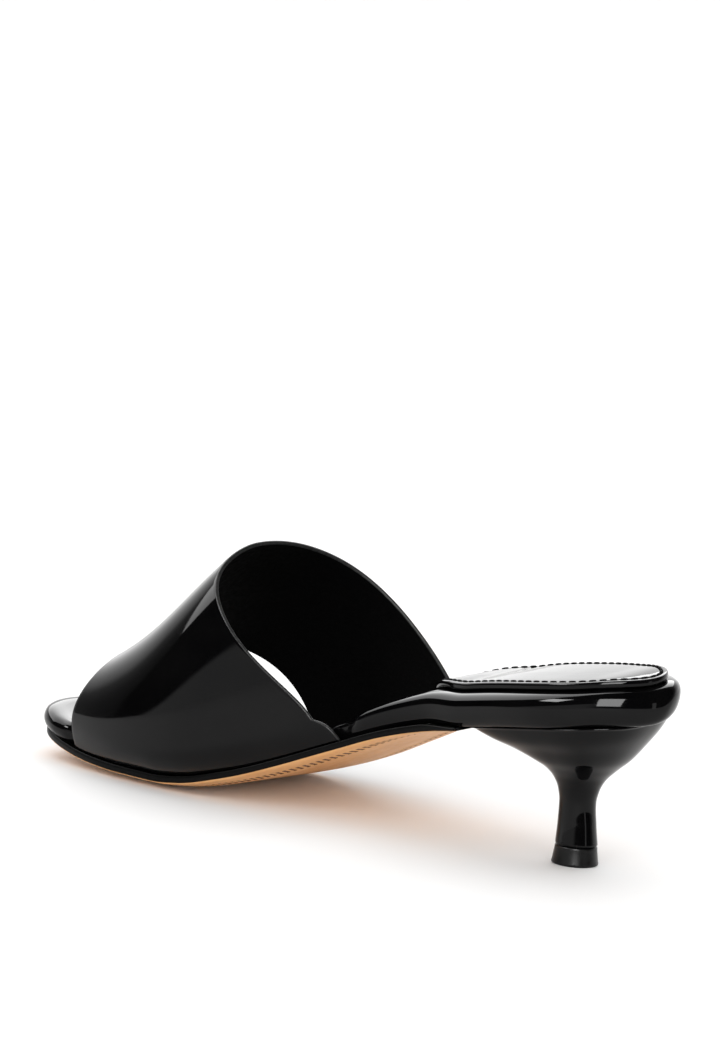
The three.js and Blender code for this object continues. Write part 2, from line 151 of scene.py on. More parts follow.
def smooth(table, key, column, spread=lambda value: value):
    """A natural cubic through the named column."""
    xs = spread(table[key])
    ys = table[column]
    bend = bends(xs, ys)

    def curve(value):
        x = spread(value)
        i = np.clip(np.searchsorted(xs, x, "right") - 1, 0, len(xs) - 2)
        width = xs[i + 1] - xs[i]
        right = (x - xs[i]) / width
        left = 1 - right
        bow = (left**3 - left) * bend[i] + (right**3 - right) * bend[i + 1]
        return left * ys[i] + right * ys[i + 1] + bow * width * width / 6

    return curve


def monotone(table, key, column):
    """A curve through the named column that never overshoots its rows."""
    xs = table[key]
    ys = table[column]
    steps = np.diff(ys) / np.diff(xs)
    before = np.concatenate([steps[:1], steps])
    after = np.concatenate([steps, steps[-1:]])
    same = before * after > 0
    slopes = np.where(same, 2 * before * after / np.where(same, before + after, 1), 0)

    def curve(x):
        i = np.clip(np.searchsorted(xs, x, "right") - 1, 0, len(xs) - 2)
        width = xs[i + 1] - xs[i]
        share = clamp((x - xs[i]) / width)
        square = share * share
        cube = square * share
        ends = ys[i] * (2 * cube - 3 * square + 1) + ys[i + 1] * (3 * square - 2 * cube)
        return ends + width * (slopes[i] * (cube - 2 * square + share) + slopes[i + 1] * (cube - square))

    return curve


def round_angle(along):
    return np.arccos(1 - 2 * clamp(along))


def along_at(share):
    return (1 - np.cos(np.pi * share)) / 2


inner_half = smooth(OUTLINE, "along", "inner", round_angle)
outer_half = smooth(OUTLINE, "along", "outer", round_angle)
rise = monotone(PROFILE, "along", "rise")
spring = monotone(PROFILE, "along", "spring")
footbed_share = monotone(PROFILE, "along", "footbed")
crown = monotone(PROFILE, "along", "crown")
ridge_share = smooth(LAST, "along", "ridge")
bulges = {1: smooth(LAST, "along", "inner"), -1: smooth(LAST, "along", "outer")}
ridge_middle = smooth(LAST, "along", "middle")
band_back = smooth(BAND, "around", "back")
band_front = smooth(BAND, "around", "front")


def half_width(along, side):
    return BALL_WIDTH * np.where(np.asarray(side) > 0, inner_half(along), outer_half(along))


def edge_point(along, side):
    return np.stack([side * half_width(along, side), along * SOLE_LENGTH], -1)


def inset_point(share, side, inset):
    """Points of the outline moved inwards at right angles to it."""
    step = 0.004
    share = np.asarray(share, float)
    back = edge_point(along_at(np.maximum(0, share - step)), side)
    front = edge_point(along_at(np.minimum(1, share + step)), side)
    run = front - back
    run[share <= 0] = (side, 0)
    run[share >= 1] = (-side, 0)
    run /= np.linalg.norm(run, axis=-1, keepdims=True)
    inward = np.stack([-side * run[..., 1], side * run[..., 0]], -1)
    return edge_point(along_at(share), side) + inward * np.asarray(inset)[..., None]


def underside(x, distance):
    """Height over the floor of the sole's underside."""
    along = clamp(distance / SOLE_LENGTH)
    side = np.where(x < 0, -1, 1)
    across = clamp(np.abs(x) / np.maximum(1, np.abs(half_width(along, side))))
    curl = clamp((across - TREAD_FLAT_SHARE) / (1 - TREAD_FLAT_SHARE)) ** 2
    lift = np.where(side > 0, SOLE_CROWN[1], SOLE_CROWN[-1])
    bank = -side * SEAT_BANK * across * (1 - crown(along))
    return (HEEL_HEIGHT + bank) * rise(along) + TOE_SPRING * spring(along) + lift * crown(along) * curl


BREAST = BREAST_ALONG * SOLE_LENGTH


def sole_thickness(distance):
    return mix(SKIVED_THICKNESS, SOLE_THICKNESS, ease(BREAST, BREAST + SKIVE_LENGTH, distance))


def sole_top(x, distance):
    return underside(x, distance) + sole_thickness(distance)


def footbed_thickness(distance):
    return FOOTBED_THICKNESS * footbed_share(clamp(distance / SOLE_LENGTH))


def footbed_top(x, distance):
    return sole_top(x, distance) + CLEARANCE + footbed_thickness(distance)


def place(x, distance, z):
    """From distance along the shoe to the model's frame, in metres."""
    x, distance, z = np.broadcast_arrays(x, distance, z)
    return np.stack([x + ORIGIN[0], SOLE_LENGTH / 2 - distance + ORIGIN[1], z], -1) / 1000


# Building of meshes
class Shape:
    """Points and quads of one piece, each quad with the number of its material."""

    def __init__(self):
        self.points = []
        self.faces = []
        self.marks = []
        self.count = 0

    def add(self, grid, wrap=False, mark=0):
        """A grid of points. wrap joins its last column to its first, mark is one number or one a quad."""
        rows, cols = grid.shape[:2]
        self.points.append(grid.reshape(-1, 3))
        across = cols if wrap else cols - 1
        marks = np.broadcast_to(mark, (rows - 1, across))
        for i in range(rows - 1):
            for j in range(across):
                k = (j + 1) % cols
                start = self.count + i * cols
                self.faces.append((start + j, start + k, start + cols + k, start + cols + j))
                self.marks.append(int(marks[i, j]))
        self.count += rows * cols

    def build(self, name, materials, weld=2e-6):
        mesh = bpy.data.meshes.new(name)
        mesh.from_pydata(np.concatenate(self.points).tolist(), [], self.faces)
        for material in materials:
            mesh.materials.append(material)
        mesh.polygons.foreach_set("material_index", self.marks)
        form = bmesh.new()
        form.from_mesh(mesh)
        bmesh.ops.remove_doubles(form, verts=form.verts, dist=weld)
        bmesh.ops.dissolve_degenerate(form, edges=form.edges, dist=weld / 4)
        bmesh.ops.recalc_face_normals(form, faces=form.faces)
        for face in form.faces:
            face.smooth = True
        form.to_mesh(mesh)
        form.free()
        thing = bpy.data.objects.new(name, mesh)
        bpy.context.collection.objects.link(thing)
        return thing


def wear(thing, slot, *nodes):
    """The piece rides on the shoe and stands for CAD nodes, which it hides; slot is not used."""
    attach(thing, "root")
    if nodes:
        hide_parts(*nodes)
    return thing


def plan(shares, across, point_at):
    """Sheet of plan points between the outer and the inner side."""
    outer = point_at(shares, -1)[:, None]
    inner = point_at(shares, 1)[:, None]
    return mix(outer, inner, np.linspace(0, 1, across + 1)[None, :, None])


def rim(sheet):
    """Rim of a sheet as one loop."""
    return np.concatenate([sheet[0], sheet[1:-1, -1], sheet[-1][::-1], sheet[1:-1, 0][::-1]])


def raised(points, height):
    return place(points[..., 0], points[..., 1], height(points[..., 0], points[..., 1]))


def fine(table, count):
    """The rows of an edge's table with more rows between them, on one smooth curve."""
    steps = np.arange(len(table["inset"]), dtype=float)
    curves = [smooth({"at": steps, "value": table[name]}, "at", "value") for name in ("inset", "height")]
    at = np.linspace(0, steps[-1], count)
    return list(zip(*(curve(at) for curve in curves)))


EDGE_SAMPLES = 2000
EDGE_SAMPLE_INSET = 6.0


def even_shares(start, count):
    """Shares of the round angle from start to the toe at even steps along the edge."""
    shares = np.linspace(start, 1, EDGE_SAMPLES)
    lengths = []
    for side in (1, -1):
        steps = np.diff(inset_point(shares, side, EDGE_SAMPLE_INSET), axis=0)
        lengths.append(np.concatenate([[0], np.cumsum(np.linalg.norm(steps, axis=1))]))
    middle = (lengths[0] + lengths[1]) / 2
    return np.interp(np.linspace(0, middle[-1], count), middle, shares)


# Materials
def nodes_of(name, colour, rough, **sockets):
    """A material with its shader's plain sockets set."""
    material = bpy.data.materials.new(name)
    material.use_nodes = True
    tree = material.node_tree
    shader = tree.nodes["Principled BSDF"]
    shader.inputs["Base Color"].default_value = (*colour, 1)
    shader.inputs["Roughness"].default_value = rough
    for socket, value in sockets.items():
        shader.inputs[socket.replace("_", " ")].default_value = value
    return material, tree, shader


def noise(tree, scale, detail=2.0, stretch=(1, 1, 1)):
    """Noise over the object's own coordinates; scale is per metre."""
    at = tree.nodes.new("ShaderNodeTexCoord")
    turn = tree.nodes.new("ShaderNodeMapping")
    turn.inputs["Scale"].default_value = stretch
    cloud = tree.nodes.new("ShaderNodeTexNoise")
    cloud.inputs["Scale"].default_value = scale
    cloud.inputs["Detail"].default_value = detail
    tree.links.new(at.outputs["Object"], turn.inputs["Vector"])
    tree.links.new(turn.outputs["Vector"], cloud.inputs["Vector"])
    return cloud.outputs["Fac"]


def cells(tree, scale):
    """Leather-like cells."""
    at = tree.nodes.new("ShaderNodeTexCoord")
    cloud = tree.nodes.new("ShaderNodeTexVoronoi")
    cloud.inputs["Scale"].default_value = scale
    tree.links.new(at.outputs["Object"], cloud.inputs["Vector"])
    return cloud.outputs["Distance"]


# The range that most of a noise texture's values lie in
NOISE_RANGE = (0.3, 0.7)


def spread(tree, value, low, high):
    """Maps a texture's middle range onto low to high."""
    node = tree.nodes.new("ShaderNodeMapRange")
    node.inputs["From Min"].default_value = NOISE_RANGE[0]
    node.inputs["From Max"].default_value = NOISE_RANGE[1]
    node.inputs["To Min"].default_value = low
    node.inputs["To Max"].default_value = high
    tree.links.new(value, node.inputs["Value"])
    return node.outputs["Result"]


def relief(tree, shader, *layers):
    """Bumps, each given as (texture, depth in metres), one over the other."""
    normal = None
    for texture, depth in layers:
        bump = tree.nodes.new("ShaderNodeBump")
        bump.inputs["Distance"].default_value = depth
        tree.links.new(texture, bump.inputs["Height"])
        if normal is not None:
            tree.links.new(normal, bump.inputs["Normal"])
        normal = bump.outputs["Normal"]
    tree.links.new(normal, shader.inputs["Normal"])


def two_tone(tree, shader, value, low, high):
    """Base colour between two colours, by a texture."""
    blend = tree.nodes.new("ShaderNodeValToRGB")
    for mark, position, colour in zip(blend.color_ramp.elements, NOISE_RANGE, (low, high)):
        mark.position = position
        mark.color = (*colour, 1)
    tree.links.new(value, blend.inputs["Fac"])
    tree.links.new(blend.outputs["Color"], shader.inputs["Base Color"])


def patent(name, wave=0.00004, streak=0.000001, grain=0.0000015):
    """Black patent leather: a deep gloss that swims a little over the hide."""
    material, tree, shader = nodes_of(name, (0.002, 0.002, 0.002), 0.05, IOR=1.26)
    relief(
        tree, shader,
        (noise(tree, 45, 1.0), wave),
        (noise(tree, 260, 3.0, (1, 0.2, 1)), streak),
        (noise(tree, 900, 2.0), grain),
    )
    tree.links.new(spread(tree, noise(tree, 260, 3.0), 0.04, 0.085), shader.inputs["Roughness"])
    two_tone(tree, shader, noise(tree, 60, 2.0), (0.0012, 0.0012, 0.0014), (0.0026, 0.0025, 0.0026))
    return material


def lining(name):
    """Black kid lining, dull with fine pores."""
    material, tree, shader = nodes_of(name, (0.0006, 0.0006, 0.0006), 0.7, IOR=1.12)
    relief(tree, shader, (cells(tree, 1500), 0.00003))
    two_tone(tree, shader, noise(tree, 400, 2.0), (0.0004, 0.0004, 0.0004), (0.0009, 0.0008, 0.0008))
    tree.links.new(spread(tree, noise(tree, 700, 2.0), 0.6, 0.8), shader.inputs["Roughness"])
    return material


def cut_edge(name, low, high, index):
    """Painted cut edge of the leather, between two greys, duller with a lower index."""
    material, tree, shader = nodes_of(name, (low, low, low), 0.35, IOR=index)
    relief(tree, shader, (noise(tree, 1800, 3.0), 0.00004))
    two_tone(tree, shader, noise(tree, 900, 2.0), (low, low, low), (high, high, high))
    return material


def sole_leather(name):
    """Natural tan sole leather with a fine grain and faint clouds."""
    material, tree, shader = nodes_of(name, (0.76, 0.37, 0.12), 0.45)
    relief(tree, shader, (cells(tree, 1300), 0.00002), (noise(tree, 300, 4.0), 0.00003))
    two_tone(tree, shader, noise(tree, 120, 5.0, (1, 0.35, 1)), (0.66, 0.33, 0.12), (0.76, 0.42, 0.17))
    tree.links.new(spread(tree, noise(tree, 500, 3.0), 0.4, 0.55), shader.inputs["Roughness"])
    return material


def groove_leather(name):
    """Darker leather in the pressed ribs."""
    material, tree, shader = nodes_of(name, (0.1, 0.03, 0.015), 0.7)
    two_tone(tree, shader, noise(tree, 900, 3.0), (0.07, 0.02, 0.01), (0.14, 0.045, 0.02))
    relief(tree, shader, (noise(tree, 1500, 3.0), 0.00003))
    return material


def rubber(name):
    """Black top piece of hard rubber."""
    material, tree, shader = nodes_of(name, (0.003, 0.003, 0.003), 0.32, IOR=1.3)
    relief(tree, shader, (noise(tree, 1500, 3.0), 0.000006))
    two_tone(tree, shader, noise(tree, 300, 3.0), (0.002, 0.002, 0.002), (0.004, 0.004, 0.004))
    tree.links.new(spread(tree, noise(tree, 800, 2.0), 0.26, 0.4), shader.inputs["Roughness"])
    return material


def thread(name):
    """Waxed black thread with a fine twist."""
    material, tree, shader = nodes_of(name, (0.003, 0.003, 0.003), 0.8, IOR=1.15)
    relief(tree, shader, (noise(tree, 2500, 2.0, (1, 3, 1)), 0.00005))
    two_tone(tree, shader, noise(tree, 1200, 2.0), (0.002, 0.002, 0.002), (0.005, 0.005, 0.005))
    return material


PATENT_UPPER = patent("upper_patent")
PATENT_BED = patent("footbed_patent", wave=0.00003)
PATENT_PAD = patent("pad_patent", wave=0.00002, streak=0.00001, grain=0.000003)
PATENT_HEEL = patent("heel_patent", wave=0.00002)
LINING = lining("kid_lining")
EDGE = cut_edge("cut_edge", 0.005, 0.018, 1.3)
SOLE = sole_leather("sole_leather")
GROOVE = groove_leather("sole_groove")
EDGE_PAINT = cut_edge("edge_paint", 0.0008, 0.002, 1.18)
RUBBER = rubber("tip_rubber")
THREAD = thread("thread")


# Outsole: tan underneath with a pressed channel of short ribs, black painted edge
RIB_STATIONS = 640
STATIONS_PER_RIB = 8
CHANNEL_INSETS = (0.3, 2.5, 5.4, 5.8, 6.2, 7.0, 7.8, 8.2, 8.6, 9.4, 10.2, 10.6, 12)
RIB_INSETS = (6, 10.4)
GROOVE_INSETS = (8, 8.4)
CHANNEL_DEPTH = 0.35
# Distances from the heel end over which the ribs give way to the groove, and the groove to flat leather
RIBS_FADE = (80, 92)
GROOVE_FADE = (BREAST + 3, BREAST + 9)
# From this share of the channel's depth the leather is dark
DARK_FROM = 0.6
SOLE_MIDDLE_COLUMNS = 10
SOLE_TOP_COLUMNS = 16
SOLE_TOP_STEP = 4
TAN, PRESSED, PAINTED = 0, 1, 2
# The cut edge from the underside to the top: inset, height as a share of the thickness, finish
SOLE_EDGE = (
    (0.3, 0, TAN), (0.1, 0.1, TAN), (0, 0.2, PAINTED),
    (0, 0.55, PAINTED), (0, 0.9, PAINTED), (0.2, 1, PAINTED),
)


def channel(inset, station, distance):
    """How deep the sole is pressed in at that inset: ribs that run into one groove near the breast."""
    beat = 0.5 - 0.5 * math.cos(2 * math.pi * station / STATIONS_PER_RIB)
    ribbed = ease(*RIBS_FADE, distance)
    ribs = ribbed * beat * (RIB_INSETS[0] < inset < RIB_INSETS[1])
    groove = (1 - ribbed) * (GROOVE_INSETS[0] < inset < GROOVE_INSETS[1])
    return CHANNEL_DEPTH * (ribs + groove) * ease(*GROOVE_FADE, distance)


def make_outsole():
    breast_share = float(round_angle(BREAST_ALONG)) / math.pi
    shares = even_shares(breast_share, RIB_STATIONS + 1)
    shape = Shape()
    for side in (1, -1):
        grid = []
        dents = []
        for inset in CHANNEL_INSETS:
            at = inset_point(shares, side, inset)
            depth = np.array([channel(inset, i, d) for i, d in enumerate(at[:, 1])])
            grid.append(place(at[:, 0], at[:, 1], underside(at[:, 0], at[:, 1]) + depth))
            dents.append(depth)
        dents = np.array(dents)
        deep = np.maximum(dents[:-1], dents[1:])
        deep = np.maximum(deep[:, :-1], deep[:, 1:]) > DARK_FROM * CHANNEL_DEPTH
        shape.add(np.array(grid), mark=np.where(deep, PRESSED, TAN))

    def sheet(at, columns, inset):
        return plan(at, columns, lambda share, side: inset_point(share, side, inset))

    shape.add(raised(sheet(shares, SOLE_MIDDLE_COLUMNS, CHANNEL_INSETS[-1]), underside), mark=TAN)
    for side in (1, -1):
        rows = []
        for inset, height, _ in SOLE_EDGE:
            at = inset_point(shares, side, inset)
            low = underside(at[:, 0], at[:, 1])
            rows.append(place(at[:, 0], at[:, 1], low + height * sole_thickness(at[:, 1])))
        marks = np.array([mark for *_, mark in SOLE_EDGE[1:]])[:, None]
        shape.add(np.array(rows), mark=marks)
    # Top, and the wall across the breast end
    top = sheet(shares[::SOLE_TOP_STEP], SOLE_TOP_COLUMNS, SOLE_EDGE[-1][0])
    shape.add(raised(top, sole_top), mark=PAINTED)
    low = sheet(shares[:1], SOLE_TOP_COLUMNS, SOLE_EDGE[0][0])[0]
    shape.add(np.stack([raised(low, underside), raised(top[0], sole_top)]), mark=PAINTED)
    wear(shape.build("outsole_leather", [SOLE, GROOVE, EDGE_PAINT]), "sole_leather", "outsole")


# Footbed: a puffy wrapped board, drawn in beside the vamp, with small pleats where the wrap turns the toe
FOOTBED_STATIONS = 181
FOOTBED_COLUMNS = 24
FOOTBED_ROWS = 25
PLEAT_DEPTH = 0.22
PLEAT_PITCH = 2.3
PLEAT_RUN = 9
# The pleats wander a little and rise over these shares of the footbed's height
PLEAT_WANDER = 0.8
PLEAT_WANDER_RATE = 0.35
PLEAT_RISE = (0.3, 0.9)
# Where the vamp's front edge crosses the footbed: its inner and outer end as shares of the sole's
# length, and the x it starts from and the width it takes in millimetres
PLEAT_LINE = (0.9, 0.7)
PLEAT_LINE_FROM = 18
PLEAT_LINE_WIDTH = 50


def tuck(distance, side):
    around = 0 if side > 0 else 1
    back = band_back(around) * SOLE_LENGTH
    front = band_front(around) * SOLE_LENGTH
    return ease(back - TUCK_RUN, back - 1, distance) * (1 - ease(front + 1, front + TUCK_RUN, distance))


def footbed_inset(share, side):
    distance = along_at(share) * SOLE_LENGTH
    front = band_front(0 if side > 0 else 1) * SOLE_LENGTH
    drawn_in = FOOTBED_INSET * ease(BREAST, BREAST + SKIVE_LENGTH, distance)
    toe = (FOOTBED_INSET + TOE_OVERHANG) * ease(front, front + TOE_RUN, distance)
    return drawn_in - toe + TUCK_DEPTH * tuck(distance, side)


def pleats(x, distance):
    """Small folds along the shoe, strongest at the vamp's front edge."""
    front = SOLE_LENGTH * mix(*PLEAT_LINE, clamp((PLEAT_LINE_FROM - x) / PLEAT_LINE_WIDTH))
    near = 1 - ease(0, PLEAT_RUN, np.abs(distance - front))
    wander = PLEAT_WANDER * np.sin(x * PLEAT_WANDER_RATE)
    return PLEAT_DEPTH * near * np.sin(2 * np.pi * x / PLEAT_PITCH + wander)


def make_footbed():
    shares = np.linspace(0, 1, FOOTBED_STATIONS)
    shape = Shape()
    loops = []
    for inset, height in fine(FOOTBED_EDGE, FOOTBED_ROWS):
        def edge_at(share, side):
            return inset_point(share, side, inset + footbed_inset(share, side))

        loops.append((plan(shares, FOOTBED_COLUMNS, edge_at), height))

    def top_height(share):
        def height(x, distance):
            front = np.where(x > 0, band_front(0), band_front(1)) * SOLE_LENGTH
            level = max(share, 0) ** mix(1, TOE_BELLY, ease(front, SOLE_LENGTH, distance))
            base = sole_top(x, distance) + CLEARANCE + level * footbed_thickness(distance)
            return base + pleats(x, distance) * ease(*PLEAT_RISE, share)
        return height

    rings = np.stack([rim(raised(sheet, top_height(height))) for sheet, height in loops])
    shape.add(rings, wrap=True)
    for sheet, height in (loops[0], loops[-1]):
        shape.add(raised(sheet, top_height(height)))
    piece = wear(shape.build("footbed_wrap", [PATENT_BED]), "footbed_patent", "footbed")


# Pad under the wearer's heel: folded rim, a sunk seam and its stitches
PAD_EDGE = columns(("inset", "height"), [
    (0.5, 0), (0.12, 0.12), (0, 0.4), (0.04, 0.68), (0.22, 0.88), (0.6, 0.98), (1.1, 1.0), (1.5, 0.97),
    (1.8, 0.86), (2.05, 0.82), (2.3, 0.86), (2.8, 1.0), (4.4, 1.04), (6.2, 1.05),
])
PAD_STATIONS = 121
PAD_COLUMNS = 20
PAD_ROWS = 37
PAD_BUNCHING = 0.8
SEAM_INSET = 2.05
STITCH_PITCH = 3.05
STITCH_LENGTH = 2.3
STITCH_RADIUS = 0.42
STITCH_LEVEL = 0.98
STITCH_SIDES = 8
STITCH_LINE_SAMPLES = 900
# A stitch along its length: place and thickness, both as shares
STITCH_SHAPE = ((0, 0.02), (0.04, 0.6), (0.14, 0.95), (0.5, 1.08), (0.86, 0.95), (0.96, 0.6), (1, 0.02))


def pad_point(share, side, inset):
    """Point of the pad's edge; both sides of its nose end at the same distance."""
    length = PAD_LENGTH - inset
    last = float(round_angle(length / SOLE_LENGTH)) / np.pi
    on_outline = last * np.sin(np.pi / 2 * share)
    at = inset_point(on_outline, side, PAD_INSET + inset)
    opposite = inset_point(on_outline, -side, PAD_INSET + inset)
    end = inset_point(np.array([last]), side, PAD_INSET + inset)[0, 1]
    at[:, 1] += (length - end) * share**2
    nose = np.where(share >= 1, 1, clamp((at[:, 1] - length) / PAD_NOSE_LENGTH + 1))
    middle = (at[:, 0] + opposite[:, 0]) / 2
    at[:, 0] = mix(middle, at[:, 0], np.sqrt(1 - nose * nose))
    return at


def pad_height(share):
    return lambda x, distance: footbed_top(x, distance) + CLEARANCE + share * PAD_THICKNESS


def pad_shares(count):
    """Stations that bunch towards both round ends."""
    even = np.linspace(0, 1, count)
    return mix(even, (1 - np.cos(np.pi * even)) / 2, PAD_BUNCHING)


def make_pad():
    shares = pad_shares(PAD_STATIONS)
    shape = Shape()
    sheets = [
        (plan(shares, PAD_COLUMNS, lambda share, side: pad_point(share, side, inset)), height)
        for inset, height in fine(PAD_EDGE, PAD_ROWS)
    ]
    shape.add(np.stack([rim(raised(sheet, pad_height(height))) for sheet, height in sheets]), wrap=True)
    for sheet, height in (sheets[0], sheets[-1]):
        shape.add(raised(sheet, pad_height(height)))
    piece = wear(shape.build("sock_pad_cover", [PATENT_PAD]), "pad_patent", "sock_pad")


def capsule(shape, start, end, up, radius):
    """A short round-ended thread from start to end."""
    run = end - start
    length = np.linalg.norm(run)
    run = run / length
    side = np.cross(run, up)
    side /= np.linalg.norm(side)
    rise_axis = np.cross(side, run)
    turn = np.linspace(0, 2 * np.pi, STITCH_SIDES + 1)[:-1]
    circle = np.cos(turn)[:, None] * side + np.sin(turn)[:, None] * rise_axis
    rings = [start + run * length * share + radius * size * circle for share, size in STITCH_SHAPE]
    shape.add(np.stack(rings), wrap=True)


def make_stitches():
    shares = pad_shares(STITCH_LINE_SAMPLES)
    line = np.concatenate([
        raised(pad_point(shares, 1, SEAM_INSET), pad_height(STITCH_LEVEL)),
        raised(pad_point(shares, -1, SEAM_INSET), pad_height(STITCH_LEVEL))[::-1],
    ])
    steps = np.linalg.norm(np.diff(line, axis=0), axis=1)
    reach = np.concatenate([[0], np.cumsum(steps)])
    count = round(reach[-1] * 1000 / STITCH_PITCH)
    shape = Shape()
    up = np.array([0, 0, 1.0])

    def at(distance):
        return np.array([np.interp(distance % reach[-1], reach, line[:, axis]) for axis in range(3)])

    for i in range(count):
        middle = reach[-1] * (i + 0.5) / count
        half = STITCH_LENGTH / 2000
        capsule(shape, at(middle - half), at(middle + half), up, STITCH_RADIUS / 1000)
    wear(shape.build("pad_stitches", [THREAD], weld=1e-9), "pad_patent")


# Vamp band: wall with round folded edges, patent outside and dull lining inside
UPPER_AROUND = 150
UPPER_ALONG = 84
FOLD_STEPS = 8
# Share of the way round over which the wall turns upright at each foot
FOOT_SHARE = 0.12
SKIN, INSIDE, CUT = 0, 1, 2


def last_point(around, along):
    """Point of the last's skin. around runs from the inner edge (0) over the ridge (0.5) to the outer (1)."""
    side = np.where(around < 0.5, 1, -1)
    turn = np.where(side > 0, 2 * around, 2 * (1 - around))
    distance = along * SOLE_LENGTH
    middle = BALL_WIDTH * ridge_middle(along)
    edge = half_width(along, side)
    foot = edge - UPPER_INSET - side * middle
    reach = foot + BALL_WIDTH * np.where(side > 0, bulges[1](along), bulges[-1](along))
    start = np.arccos(clamp(foot / reach))
    angle = mix(-start, np.pi / 2, turn)
    base = sole_top(side * edge, distance) + CLEARANCE
    widest = base + UPPER_WIDEST
    low = mix(widest, base, np.sin(-angle) / np.sin(start))
    high = mix(widest, INSTEP_HEIGHT * ridge_share(along), np.sin(angle))
    height = np.where(angle < 0, low, high)
    return np.stack([middle + side * reach * np.cos(angle), distance, height], -1)


def inward(around, along):
    """Inward direction of the skin, level at the sole so that the wall stands on it."""
    step = 0.004
    before = last_point(np.maximum(0, around - step), along)
    after = last_point(np.minimum(1, around + step), along)
    across = after - before
    onward = last_point(around, along + step) - last_point(around, along - step)
    normal = np.cross(across, onward)
    normal[..., 2] *= ease(0, FOOT_SHARE, np.minimum(around, 1 - around))
    normal /= np.linalg.norm(normal, axis=-1, keepdims=True)
    skin = last_point(around, along)
    to_middle = -skin
    to_middle[..., 1] = 0
    facing = np.sum(normal * to_middle, -1, keepdims=True)
    return np.where(facing < 0, -normal, normal)


def make_upper():
    around = np.linspace(0, 1, UPPER_AROUND + 1)
    half_wall = UPPER_WALL / 2
    back = band_back(around)
    front = band_front(around)
    step = 0.002

    def middle(along):
        return last_point(around, along) + inward(around, along) * half_wall

    def onward(along):
        run = middle(along + step) - middle(along - step)
        speed = np.linalg.norm(run, axis=-1) / (2 * step)
        return run / np.linalg.norm(run, axis=-1, keepdims=True), speed

    back_in = back + half_wall / onward(back)[1]
    front_in = front - half_wall / onward(front)[1]
    skin = []
    inside = []
    for share in np.linspace(0, 1, UPPER_ALONG + 1):
        along = mix(back_in, front_in, share)
        skin.append(last_point(around, along))
        inside.append(last_point(around, along) + inward(around, along) * UPPER_WALL)

    def fold(along, sign):
        centre = middle(along)
        out = onward(along)[0] * sign
        depth = inward(around, along)
        rows = []
        for turn in np.linspace(0, np.pi, FOLD_STEPS + 1)[1:-1]:
            rows.append(centre + half_wall * (out * math.sin(turn) - depth * math.cos(turn)))
        return rows

    ring = [*skin, *fold(front_in, 1), *inside[::-1], *fold(back_in, -1)[::-1]]
    ring = np.array(ring)
    ring = place(ring[..., 0], ring[..., 1], ring[..., 2])
    count = UPPER_ALONG + 1
    bend = FOLD_STEPS - 1
    marks = np.full(len(ring), SKIN)
    marks[count - 1: 2 * count + bend] = INSIDE
    marks[2 * count + bend - 1:] = CUT
    shape = Shape()
    grid = np.swapaxes(ring, 0, 1)
    shape.add(grid, wrap=True, mark=marks[None, :])
    # The two feet of the wall
    for end in (0, -1):
        loop = grid[end]
        outer = loop[:count]
        inner = loop[count + bend: 2 * count + bend][::-1]
        shape.add(np.stack([outer, inner]), mark=INSIDE)
        turned = loop[count - 1: count + bend + 1]
        half = len(turned) // 2
        shape.add(np.stack([turned[:half + 1], turned[::-1][:half + 1]]), mark=INSIDE)
        turned = np.concatenate([loop[2 * count + bend - 1:], loop[:1]])
        shape.add(np.stack([turned[:half + 1], turned[::-1][:half + 1]]), mark=INSIDE)
    wear(shape.build("vamp_band", [PATENT_UPPER, LINING, EDGE]), "upper_patent", "upper")


# Heel, covered in the same leather up to the seat seam
HEEL_SIDES = 128
HEEL_RINGS = 70
ROUND = 2
SEAT_BACK_SQUARE = 2.3
# The seat's rim and flat from outside to the middle: size as a share, and drop in millimetres
POINT = 0.001
HEEL_TOP = ((1, 0.45), (0.994, 0.15), (0.98, 0), (0.7, 0), (0.35, 0), (POINT, 0))
# The rounded foot of the stem: size of the flat as a share, and height of its rounding in metres
STEM_FLAT = 0.96
STEM_ROUNDING = 0.0003


def heel_loop(row, shrink=1, drop=0):
    seat_level = float(sole_top(0, HEEL_AXIS))
    angle = 2 * np.pi * np.arange(HEEL_SIDES) / HEEL_SIDES
    to_front = np.sin(angle) > 1e-9
    power = 2 / np.where(to_front, row["square"], mix(ROUND, SEAT_BACK_SQUARE, row["seat"]))
    reach = STEM_RADIUS * np.where(to_front, row["front"], row["back"]) * np.abs(np.sin(angle)) ** power
    distance = HEEL_AXIS + np.where(to_front, reach, -reach) * shrink
    side = np.where(np.cos(angle) < 0, -1, 1)
    width = STEM_RADIUS * row["side"] * np.abs(np.cos(angle)) ** power
    at = half_width(clamp(distance / SOLE_LENGTH), side) - SEAT_INSET
    axis = half_width(HEEL_AXIS / SOLE_LENGTH, side) - SEAT_INSET
    follow = np.where(to_front, mix(1, at / axis, row["seat"]), 1)
    x = side * width * follow * shrink
    slope = sole_top(x, distance) - seat_level
    return place(x, distance, row["level"] * seat_level + slope * row["seat"] - drop)


def make_heel():
    curves = {name: monotone(HEEL, "level", name) for name in HEEL if name != "level"}
    levels = np.linspace(HEEL["level"][0], 1, HEEL_RINGS)
    loops = []
    for level in levels:
        row = {name: curve(level) for name, curve in curves.items()}
        loops.append(heel_loop({"level": level, **row}))
    top = {name: HEEL[name][-1] for name in HEEL}
    loops[-1:] = [heel_loop(top, shrink, drop) for shrink, drop in HEEL_TOP]
    low = loops[0].copy()
    low[:, 2] = (TIP_HEIGHT + CLEARANCE) / 1000
    centre = low.mean(0)
    rounded = mix(centre, low, STEM_FLAT)
    low[:, 2] += STEM_ROUNDING
    loops[0] = low
    loops.insert(0, rounded)
    loops.insert(0, mix(centre, rounded, POINT))
    shape = Shape()
    shape.add(np.stack(loops), wrap=True)
    wear(shape.build("heel_cover", [PATENT_HEEL]), "heel_patent", "heel")


